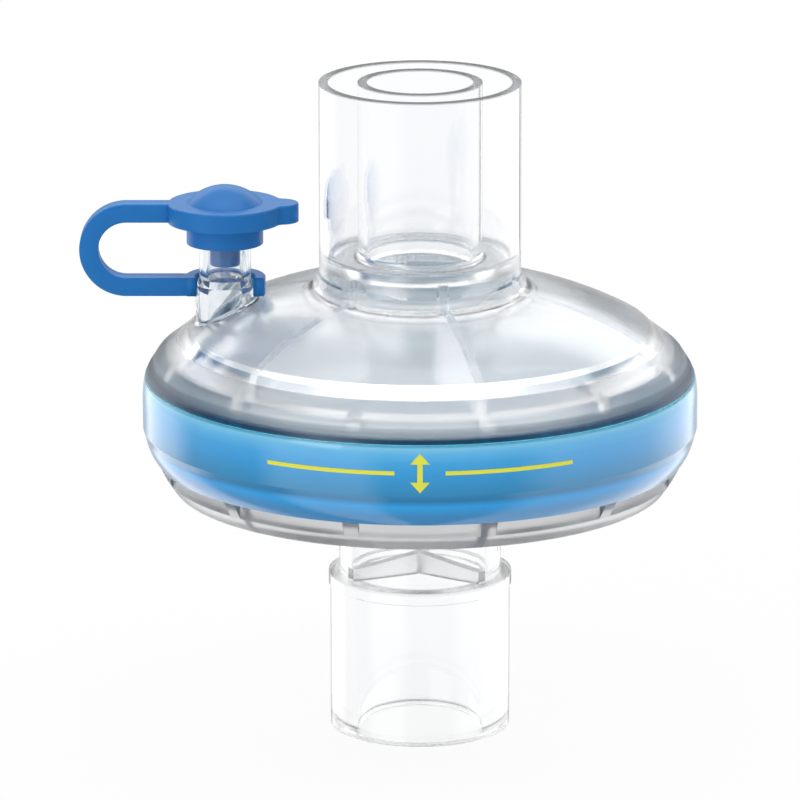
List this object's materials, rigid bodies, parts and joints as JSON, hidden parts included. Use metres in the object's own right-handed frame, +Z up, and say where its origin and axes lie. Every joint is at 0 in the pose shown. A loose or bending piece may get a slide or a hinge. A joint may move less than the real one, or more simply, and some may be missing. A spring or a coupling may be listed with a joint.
{
  "type": "breathing circuit filter",
  "caption": "Clear round breathing circuit filter with coaxial upper port, tapered-fit lower port, blue joint band and a tethered cap on its gas sampling port.",
  "frame": {"origin": "centre of the patient port's end face, on which the filter stands", "axes": "+Z up the gas way to the machine port; the sampling port stands on the -X side, and the cap's tab points to +X"},
  "size_m": [0.0751, 0.0676, 0.0807],
  "materials": {
    "clear_shell": "clear, glossy",
    "blue_band": "tinted translucent, glossy",
    "filter_felt": "non-woven felt",
    "blue_cap": "satin"
  },
  "bodies": {
    "housing": {"upper_housing": "clear_shell", "lower_housing": "clear_shell", "colour_band": "blue_band", "filter_medium": "filter_felt"},
    "tether": {"cap_tether": "blue_cap"},
    "cap": {"port_cap": "blue_cap"}
  },
  "joints": [
    {"name": "cap_swivel", "type": "hinge", "parent": "housing", "child": "tether", "pos_m": [-0.02365, 0, 0.0555], "axis": [0, 0, 1], "range_deg": [-110, 110]},
    {"name": "cap_pull", "type": "slide", "parent": "tether", "child": "cap", "axis": [0, 0, 1], "range_m": [0, 0.008], "deforming": ["cap_tether"]}
  ]
}
